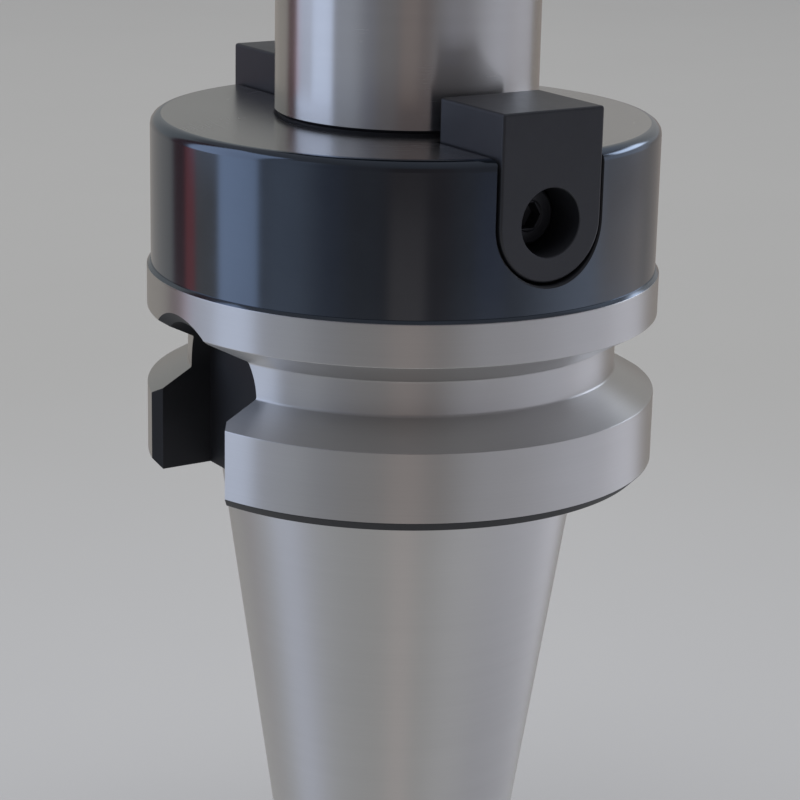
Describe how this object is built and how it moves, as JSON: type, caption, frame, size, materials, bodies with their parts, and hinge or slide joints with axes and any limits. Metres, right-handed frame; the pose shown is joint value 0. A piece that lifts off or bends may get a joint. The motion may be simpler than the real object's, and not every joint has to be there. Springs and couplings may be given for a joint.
{
  "type": "face mill holder",
  "caption": "Steep-taper tool holder with a grooved, slotted flange, a blackened cutter seat with drive keys, a pilot and a wide-headed clamp screw for a shell or face milling cutter.",
  "frame": {"origin": "centre of the taper's small end face, on the axis", "axes": "+Z along the axis towards the cutter; the drive keys lie along -Y and +Y, and the flange's drive slots open along -X and +X"},
  "size_m": [0.063, 0.063, 0.1417],
  "materials": {
    "ground_steel": "turned and ground bright steel, with a blackened body between the flange and the cutter seat",
    "black_key_steel": "matte black oxide",
    "black_screw_steel": "black oxide with a little oil",
    "black_clamp_steel": "satin black oxide over fine turning"
  },
  "bodies": {
    "holder": {"holder_body": "ground_steel", "drive_key_front": "black_key_steel", "drive_key_rear": "black_key_steel", "key_screw_front": "black_screw_steel", "key_screw_rear": "black_screw_steel"},
    "clamp": {"clamp_screw": "black_clamp_steel"}
  },
  "joints": [
    {"name": "clamp_screw_travel", "type": "slide", "parent": "holder", "child": "clamp", "axis": [0, 0, 1], "range_m": [0, 0.022]}
  ]
}
